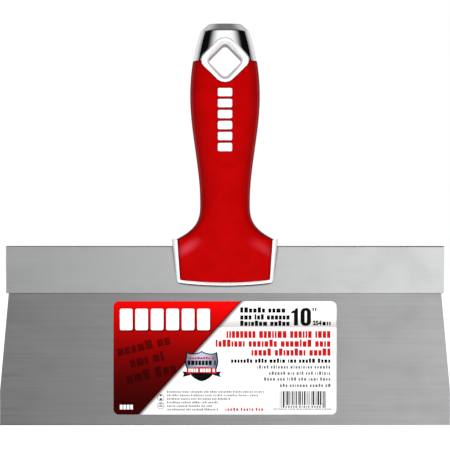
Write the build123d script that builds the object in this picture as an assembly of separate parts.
from build123d import *
import math
import os

# A drywall taping knife, in millimetres. It hangs from a peg with its blade down: +Z runs up the
# handle, +X along the working edge, and -Y is the face that carries the label. The origin is the
# centre of the hang hole, in the middle of the blade's thickness.

# Blade, a sheet of spring stainless steel
BLADE_WIDTH = 254.0  # across the working edge
BLADE_NECK_WIDTH = 244.1  # where the sheet enters the back channel
BLADE_REACH = 74.5  # working edge to the channel's lip
BLADE_STRAIGHT = 19.5  # parallel stretch of the sides above the working edge
BLADE_GAUGE = 0.55
EDGE_BEVEL_HEIGHT = 0.7  # ground on both faces along the working edge
EDGE_BEVEL_DEPTH = 0.15

# Back channel, a folded aluminium strip that stiffens the blade
CHANNEL_OVERHANG = 1.35  # past the blade's neck at each end
CHANNEL_HEIGHT = 26.7
CHANNEL_WALL = 1.2
CHANNEL_WEB = 1.6  # metal above the blade's hidden top edge
CHANNEL_ROUND = 0.8  # outside radius of the fold
CHANNEL_LIP_CHAMFER = 0.25

# Tang, a stamped steel plate riveted behind the channel and moulded into the handle
TANG_SHARE = 0.8  # the plate's share of the room between the channel and the grip's skin
TANG_FOOT_WIDTH = 42.0
TANG_FOOT_CORNER = 3.5
TANG_FOOT_MARGIN = 2.2  # from the foot to the channel's top and to the shoe's base
TANG_TONGUE_WIDTH = 13.0
TANG_JOGGLE = 5.0  # height of the bend that brings the tongue to the handle's middle
TANG_STOP = 5.0  # plastic between the tongue's end and the hang hole's bezel

# Rivets through channel, blade and tang foot
RIVET_COUNT = 4
RIVET_PITCH = 10.0
RIVET_SHANK = 4.0
RIVET_HEAD = 7.0
RIVET_HEAD_SHARE = 0.35  # the head's share of the same room

# Handle, whose sections are soft-cornered ovals; heights count from the hang hole's centre
GRIP_LENGTH = 100.2  # down to the shoe's shoulder
FLARE_WIDTH = 55.4  # the grip where it meets the shoe
WAIST_RISE = 21.0  # above the shoe's shoulder
WAIST_WIDTH = 28.0
SWELL_DROP = 19.5  # below the hang hole
SWELL_WIDTH = 39.3
SWELL_DEPTH = 26.4
FLARE_POWER = 3.2  # how late the waist opens into the flare
CROWN_POWER = 2.1  # how late the swell closes towards the cap
ROUND_FULLNESS = 0.59  # 0.55 is an ellipse and 1 a soft-cornered rectangle
SQUARE_FULLNESS = 0.93

# Shoe, the lower end of the handle's core, which wraps the channel
SHOE_HEIGHT = 24.2  # shoulder to the base's corners
SHOE_SAG = 1.7  # how far the base bows down in the middle
SHOE_BASE_DEPTH = 11.6  # the grip's thickness at the shoe's base
SHOE_CORNER = 1.3
PAD_BASE_WIDTH = 50.6  # the grip's pad at the shoe's base
RIM_TOP = 2.3  # white border beside the pad, at the shoulder and at the base
RIM_BASE = 1.7
RIM_STEP = 2.2  # how far the border sits below the pad's face
CHANNEL_COVER = 3.7  # plastic over the channel's top edge

# Soft grip moulded over the core
GRIP_WALL = 1.8
PAD_ROUND = 0.8  # rounding of the pad's lower edge

# Inlay bars of the core that show through windows in the grip's front
BAR_COUNT = 6
BAR_GAP = 1.5
INLAY_DROP = 15.7  # hang hole's centre down to the first bar
INLAY_LENGTH = 35.2
INLAY_WIDTH = 8.0
INLAY_CORNER = 0.9
INLAY_PROUD = 0.2

# Hang hole, a diamond through the core, and the raised bezel round it
HOLE_SIDE = 14.4
HOLE_CORNER = 2.5
BEZEL_BAND = 3.4  # hole's flat to the bezel's flat
BEZEL_SIDE_CORNER = 4.4
BEZEL_END_CORNER = 6.5
BEZEL_PROUD = 0.6
BEZEL_MOUTH_ANGLE = 37.0  # slope of the bezel's face into the hole, from the hole's axis
BEZEL_MOUTH_DEPTH = 2.9  # bezel's crest down to the slope's inner end

# End cap, chromed metal pressed on the core's neck
CAP_HEIGHT = 21.0  # hang hole's centre to the striking face
CAP_SHOULDER_RISE = 17.2
CAP_SHOULDER_WIDTH = 27.8
CAP_SHOULDER_DEPTH = 19.8
CAP_FACE_WIDTH = 18.6
CAP_FACE_DEPTH = 11.6
CAP_STEP = 0.3  # how far the cap sits below the grip's surface
CAP_WALL = 1.5
CAP_FACE_THICKNESS = 4.6
DETENT_DIAMETER = 4.0  # snap bumps on the neck's sides
DETENT_RISE = 7.0
DETENT_HEIGHT = 0.6

# Label, a printed vinyl sticker on the blade
LABEL_WIDTH = 125.8
LABEL_HEIGHT = 63.9
LABEL_LIFT = 6.1  # above the working edge
LABEL_CORNER = 3.0
LABEL_GAUGE = 0.12

# Levels that follow from the sizes above
SHOULDER_Z = -GRIP_LENGTH
WAIST_Z = SHOULDER_Z + WAIST_RISE
SWELL_Z = -SWELL_DROP
SHOE_BASE_Z = SHOULDER_Z - SHOE_HEIGHT
CHANNEL_TOP_Z = SHOULDER_Z - CHANNEL_COVER
LIP_Z = CHANNEL_TOP_Z - CHANNEL_HEIGHT
EDGE_Z = LIP_Z - BLADE_REACH
BLADE_TOP_Z = CHANNEL_TOP_Z - CHANNEL_WEB
CHANNEL_HALF_DEPTH = BLADE_GAUGE / 2 + CHANNEL_WALL
FOOT_ROOM = SHOE_BASE_DEPTH / 2 - GRIP_WALL - CHANNEL_HALF_DEPTH
TANG_GAUGE = TANG_SHARE * FOOT_ROOM
RIVET_HEAD_HEIGHT = RIVET_HEAD_SHARE * FOOT_ROOM
FOOT_TOP_Z = CHANNEL_TOP_Z - TANG_FOOT_MARGIN
FOOT_BASE_Z = max(SHOE_BASE_Z, LIP_Z) + TANG_FOOT_MARGIN
RIVET_Z = (FOOT_TOP_Z + FOOT_BASE_Z) / 2
THROUGH = 200.0  # more than any thickness, for cuts that go right through
CUT_MARGIN = 2.0  # how far a cutting form runs past the piece that it trims
FLARE_SECTIONS = 6
REACH_SECTIONS = 6
CROWN_SECTIONS = 4
CAP_SECTIONS = 2


def front(face, near=THROUGH, far=THROUGH):
    """A drawing in the XZ plane, as seen from the front, made solid from y = -near to y = far."""
    return Pos(0, far, 0) * extrude(Plane.XZ * face, amount=near + far)


def half_width(z):
    """Half the handle's width, from the flare at the shoe to the crown of the cap."""
    if z < WAIST_Z:
        share = (WAIST_Z - z) / WAIST_RISE
        return WAIST_WIDTH / 2 + (FLARE_WIDTH - WAIST_WIDTH) / 2 * share**FLARE_POWER
    if z < SWELL_Z:
        share = (z - WAIST_Z) / (SWELL_Z - WAIST_Z)
        return WAIST_WIDTH / 2 + (SWELL_WIDTH - WAIST_WIDTH) / 2 * share**2 * (3 - 2 * share)
    return SWELL_WIDTH / 2 - (SWELL_WIDTH - CAP_SHOULDER_WIDTH) / 2 * crown_share(z)


def half_depth(z):
    """Half the handle's thickness, which grows from the shoe's base to the swell."""
    if z < SWELL_Z:
        share = (z - SHOE_BASE_Z) / (SWELL_Z - SHOE_BASE_Z)
        return SHOE_BASE_DEPTH / 2 + (SWELL_DEPTH - SHOE_BASE_DEPTH) / 2 * math.sin(share * math.pi / 2)
    return SWELL_DEPTH / 2 - (SWELL_DEPTH - CAP_SHOULDER_DEPTH) / 2 * crown_share(z)


def crown_share(z):
    return ((z - SWELL_Z) / (CAP_SHOULDER_RISE - SWELL_Z)) ** CROWN_POWER


def fullness(z):
    """How square a section's corners are: square at the shoe, round from the waist up."""
    share = max(0.0, (WAIST_Z - z) / WAIST_RISE)
    return ROUND_FULLNESS + (SQUARE_FULLNESS - ROUND_FULLNESS) * share


def oval_edges(z, wide, deep, full):
    """A level outline with half width wide and half depth deep, drawn as four equal curves."""
    edges = []
    for turn in range(4):
        a, b = (wide, deep) if turn % 2 == 0 else (deep, wide)
        quarter = Bezier((a, 0), (a, full * b), (full * a, b), (0, b))
        edges.append((Pos(0, 0, z) * Rot(0, 0, 90 * turn) * quarter).edge())
    return edges


def straight_walled(lower, upper):
    """The solid between two ovals, given by their edges, with straight walls from one to the other."""
    walls = [Face.make_surface_from_curves(low, high) for low, high in zip(lower, upper)]
    return Solid(Shell(walls + [make_face(lower).face(), make_face(upper).face()]))


def section_edges(z, grow):
    return oval_edges(z, half_width(z) + grow, half_depth(z) + grow, fullness(z))


def handle_section(z, grow):
    return make_face(section_edges(z, grow))


def handle_body(grow):
    """The handle's whole outer form from the shoe's shoulder to the cap's crown, thickened by grow."""
    flare = [SHOULDER_Z + WAIST_RISE * (i / FLARE_SECTIONS) ** 1.4 for i in range(FLARE_SECTIONS)]
    reach = [WAIST_Z + (SWELL_Z - WAIST_Z) * (i / REACH_SECTIONS) ** 1.3 for i in range(REACH_SECTIONS)]
    crown = [SWELL_Z + (CAP_HEIGHT - SWELL_Z) * i / CROWN_SECTIONS for i in range(CROWN_SECTIONS + 1)]
    return loft([handle_section(z, grow) for z in flare + reach + crown])


def shoe_body(side, depth_change, below):
    """The handle's form under the shoulder: side widens it, depth_change thins it, below extends it."""
    base_z = SHOE_BASE_Z - below
    base = (PAD_BASE_WIDTH / 2 + side[1], half_depth(base_z) + depth_change)
    top = (FLARE_WIDTH / 2 + side[0], half_depth(SHOULDER_Z) + depth_change)
    lower = oval_edges(base_z, *base, SQUARE_FULLNESS)
    return Part() + straight_walled(lower, oval_edges(SHOULDER_Z, *top, SQUARE_FULLNESS))


def bowed_base(half, base_z, sag, corner):
    """The region above a downward-bowed base line, with rounded lower corners."""
    left, right, low = (-half[1], base_z), (half[1], base_z), (0, base_z - sag)
    top = SHOULDER_Z + CUT_MARGIN
    outline = [ThreePointArc(left, low, right)]
    outline += [Polyline(right, (half[0], top), (-half[0], top), left)]
    face = make_face([e for line in outline for e in line.edges()])
    if corner:
        corners = face.vertices().sort_by(Axis.Y)[:2]
        face = fillet(corners, corner)
    return front(face)


def diamond(side, end_corner, side_corner):
    """A square on its point, whose top and bottom corners may be rounder than its side corners."""
    face = Rot(0, 0, 45) * Rectangle(side, side)
    ends = face.vertices().sort_by(Axis.Y)
    face = fillet([ends[0], ends[-1]], end_corner)
    sides = [v for v in face.vertices() if abs(v.Y) < side / 100]
    return fillet(sides, side_corner)


def bezel_outline():
    side = HOLE_SIDE + 2 * BEZEL_BAND
    return front(diamond(side, BEZEL_END_CORNER, BEZEL_SIDE_CORNER))


def bezel_plug():
    return handle_body(BEZEL_PROUD) & bezel_outline()


def hang_hole():
    return front(diamond(HOLE_SIDE, HOLE_CORNER, HOLE_CORNER))


def hole_mouths():
    """The sloped mouths of the hang hole, each a diamond that widens as it leaves the handle."""
    top, low = half_depth(HOLE_SIDE / 2), half_depth(-HOLE_SIDE / 2)
    lean = math.degrees(math.atan2(low - top, HOLE_SIDE))
    start_y = half_depth(0) + BEZEL_PROUD - BEZEL_MOUTH_DEPTH
    base = Plane(origin=(0, -start_y, 0), x_dir=(1, 0, 0), z_dir=(0, -1, 0)).rotated((-lean, 0, 0))
    outline = base * diamond(HOLE_SIDE, HOLE_CORNER, HOLE_CORNER)
    mouth = extrude(outline, amount=2 * BEZEL_MOUTH_DEPTH, taper=-BEZEL_MOUTH_ANGLE)
    return mouth + mirror(mouth, about=Plane.XZ)


def make_blade():
    half, neck = BLADE_WIDTH / 2, BLADE_NECK_WIDTH / 2
    slope = (half - neck) / (BLADE_REACH - BLADE_STRAIGHT)
    top = neck - slope * (BLADE_TOP_Z - LIP_Z)
    side = [(half, EDGE_Z), (half, EDGE_Z + BLADE_STRAIGHT), (top, BLADE_TOP_Z)]
    outline = make_face(Polyline(*side, *[(-x, z) for x, z in reversed(side)], close=True))
    blade = front(outline, BLADE_GAUGE / 2, BLADE_GAUGE / 2)
    return blade - edge_bevels() - rivet_shanks()


def edge_bevels():
    """The two slivers that grinding takes off the working edge."""
    face_y, land_y = BLADE_GAUGE / 2, BLADE_GAUGE / 2 - EDGE_BEVEL_DEPTH
    wedge = Polyline((face_y, EDGE_Z), (face_y, EDGE_Z + EDGE_BEVEL_HEIGHT), (land_y, EDGE_Z), close=True)
    rear = extrude(Plane.YZ * make_face(wedge), amount=BLADE_WIDTH, both=True)
    return rear + mirror(rear, about=Plane.XZ)


def make_channel():
    length = BLADE_NECK_WIDTH + 2 * CHANNEL_OVERHANG
    bar = Pos(0, 0, (CHANNEL_TOP_Z + LIP_Z) / 2) * Box(length, 2 * CHANNEL_HALF_DEPTH, CHANNEL_HEIGHT)
    along = bar.edges().filter_by(Axis.X).sort_by(Axis.Z)
    bar = fillet(along[2:], CHANNEL_ROUND)
    along = bar.edges().filter_by(Axis.X).group_by(Axis.Z)
    bar = chamfer(along[0], CHANNEL_LIP_CHAMFER)
    slot_base_z = LIP_Z - CUT_MARGIN
    slot = Box(length + CUT_MARGIN, BLADE_GAUGE, BLADE_TOP_Z - slot_base_z)
    return bar - Pos(0, 0, (BLADE_TOP_Z + slot_base_z) / 2) * slot - rivet_shanks()


def make_tang():
    """A T-shaped plate: its foot lies behind the channel and its tongue runs up the handle's middle."""
    foot_y, half = CHANNEL_HALF_DEPTH + TANG_GAUGE / 2, TANG_GAUGE / 2
    tongue_top = -(HOLE_SIDE + 2 * BEZEL_BAND) / math.sqrt(2) - TANG_STOP
    bend_z = CHANNEL_TOP_Z
    middle = [(foot_y, FOOT_BASE_Z), (foot_y, bend_z), (0, bend_z + TANG_JOGGLE), (0, tongue_top)]
    rear = [(y + half, z) for y, z in middle]
    fore = [(y - half, z) for y, z in reversed(middle)]
    profile = make_face(Polyline(*rear, *fore, close=True))
    plate = extrude(Plane.YZ * profile, amount=TANG_FOOT_WIDTH, both=True)
    foot_height = FOOT_TOP_Z - FOOT_BASE_Z
    foot = RectangleRounded(TANG_FOOT_WIDTH, foot_height, TANG_FOOT_CORNER)
    foot = Pos(0, FOOT_BASE_Z + foot_height / 2) * foot
    tongue_height = tongue_top - FOOT_BASE_Z
    tongue = Pos(0, FOOT_BASE_Z + tongue_height / 2) * Rectangle(TANG_TONGUE_WIDTH, tongue_height)
    return (plate & front(foot + tongue)) - rivet_shanks()


def rivet_places():
    middle = (RIVET_COUNT - 1) / 2
    return [Pos((i - middle) * RIVET_PITCH, 0, RIVET_Z) for i in range(RIVET_COUNT)]


def disc(diameter, near_y, far_y):
    return Pos(0, (near_y + far_y) / 2, 0) * Rot(90, 0, 0) * Cylinder(diameter / 2, far_y - near_y)


def rivet_shanks():
    shank = disc(RIVET_SHANK, -CHANNEL_HALF_DEPTH, CHANNEL_HALF_DEPTH + TANG_GAUGE)
    return Part() + [place * shank for place in rivet_places()]


def make_rivets():
    front_y, rear_y = -CHANNEL_HALF_DEPTH, CHANNEL_HALF_DEPTH + TANG_GAUGE
    shank = disc(RIVET_SHANK, front_y, rear_y)
    head = disc(RIVET_HEAD, front_y - RIVET_HEAD_HEIGHT, front_y)
    tail = disc(RIVET_HEAD, rear_y, rear_y + RIVET_HEAD_HEIGHT)
    rivet = shank + head + tail
    return Compound([place * rivet.solid() for place in rivet_places()])


def inlay_bars():
    """Plain raised bars down the middle of the grip's front."""
    height = (INLAY_LENGTH - BAR_GAP * (BAR_COUNT - 1)) / BAR_COUNT
    bar = RectangleRounded(INLAY_WIDTH, height, INLAY_CORNER)
    first = -INLAY_DROP - height / 2
    bars = [Pos(0, first - i * (height + BAR_GAP)) * bar for i in range(BAR_COUNT)]
    return handle_body(INLAY_PROUD) & front(Sketch() + bars, THROUGH, 0)


def detents():
    """Snap bumps that stand out of both sides of the neck into the cap."""
    surface = half_width(DETENT_RISE) - CAP_STEP - CAP_WALL
    length = CAP_WALL + DETENT_HEIGHT
    bump = Rot(0, 90, 0) * Cylinder(DETENT_DIAMETER / 2, length)
    right = Pos(surface + DETENT_HEIGHT - length / 2, 0, DETENT_RISE) * bump
    return right + mirror(right, about=Plane.YZ)


def below(z):
    return Pos(0, 0, z - THROUGH) * Box(2 * THROUGH, 2 * THROUGH, 2 * THROUGH)


def above(z):
    return Pos(0, 0, z + THROUGH) * Box(2 * THROUGH, 2 * THROUGH, 2 * THROUGH)


def make_shoe():
    """The core's wide lower end, with its border standing out round the grip's pads."""
    rim = (RIM_TOP, RIM_BASE)
    half = (FLARE_WIDTH / 2 + RIM_TOP + CUT_MARGIN, PAD_BASE_WIDTH / 2 + RIM_BASE)
    form = shoe_body(rim, -RIM_STEP, SHOE_SAG + CUT_MARGIN)
    return form & bowed_base(half, SHOE_BASE_Z, SHOE_SAG, SHOE_CORNER)


def pad_base(lift):
    """The bowed line where the grip's pads end, a border's width above the shoe's own base."""
    half = (FLARE_WIDTH / 2 + CUT_MARGIN, PAD_BASE_WIDTH / 2 + CUT_MARGIN)
    return bowed_base(half, SHOE_BASE_Z + RIM_BASE + lift, SHOE_SAG, 0)


def make_core_form():
    """The hard plastic heart of the handle: shoe, body, bezel, inlay bars and the neck for the cap."""
    inner = handle_body(-GRIP_WALL) & below(0)
    heart = shoe_body((-GRIP_WALL, -GRIP_WALL), -GRIP_WALL, 0) & pad_base(GRIP_WALL)
    neck = handle_body(-CAP_STEP - CAP_WALL) & above(0) & below(CAP_HEIGHT - CAP_FACE_THICKNESS)
    return make_shoe() + heart + inner + neck + detents() + inlay_bars() + bezel_plug()


def make_grip(core_form):
    """The soft skin, which fills all of the handle's form below the cap that the core leaves."""
    pads = shoe_body((0, 0), 0, SHOE_SAG + CUT_MARGIN) & pad_base(0)
    base_edges = [e for e in pads.edges() if (e @ 0.5).Z < SHOE_BASE_Z + RIM_BASE]
    skin = (handle_body(0) & below(0)) + fillet(base_edges, PAD_ROUND)
    return skin - core_form - bezel_outline()


def make_cap(core_form):
    """The striking cap: a tapered skirt that continues the grip, then a bevel up to the flat face."""
    levels = [CAP_SHOULDER_RISE * i / CAP_SECTIONS for i in range(CAP_SECTIONS + 1)]
    skirt = loft([handle_section(z, -CAP_STEP) for z in levels])
    shoulder = section_edges(CAP_SHOULDER_RISE, -CAP_STEP)
    face = oval_edges(CAP_HEIGHT, CAP_FACE_WIDTH / 2, CAP_FACE_DEPTH / 2, ROUND_FULLNESS)
    return skirt + straight_walled(shoulder, face) - core_form - bezel_outline()


def make_label():
    middle_z = EDGE_Z + LABEL_LIFT + LABEL_HEIGHT / 2
    face = Pos(0, middle_z) * RectangleRounded(LABEL_WIDTH, LABEL_HEIGHT, LABEL_CORNER)
    return front(face, BLADE_GAUGE / 2 + LABEL_GAUGE, -BLADE_GAUGE / 2)


def main():
    os.makedirs("parts", exist_ok=True)
    blade, channel, tang, rivets = make_blade(), make_channel(), make_tang(), make_rivets()
    metal = Part() + [blade, channel, tang] + list(rivets.solids())
    core_form = make_core_form()
    nodes = {
        "blade": blade,
        "back_channel": channel,
        "tang_plate": tang,
        "tang_rivets": rivets,
        "handle_core": core_form - hang_hole() - hole_mouths() - metal,
        "soft_grip": make_grip(core_form),
        "end_cap": make_cap(core_form),
        "product_label": make_label(),
    }
    for name, shape in nodes.items():
        export_step(shape, f"parts/{name}.step")
        print(name, len(shape.solids()), "solid(s)", round(sum(s.volume for s in shape.solids()), 1), "mm3")


main()
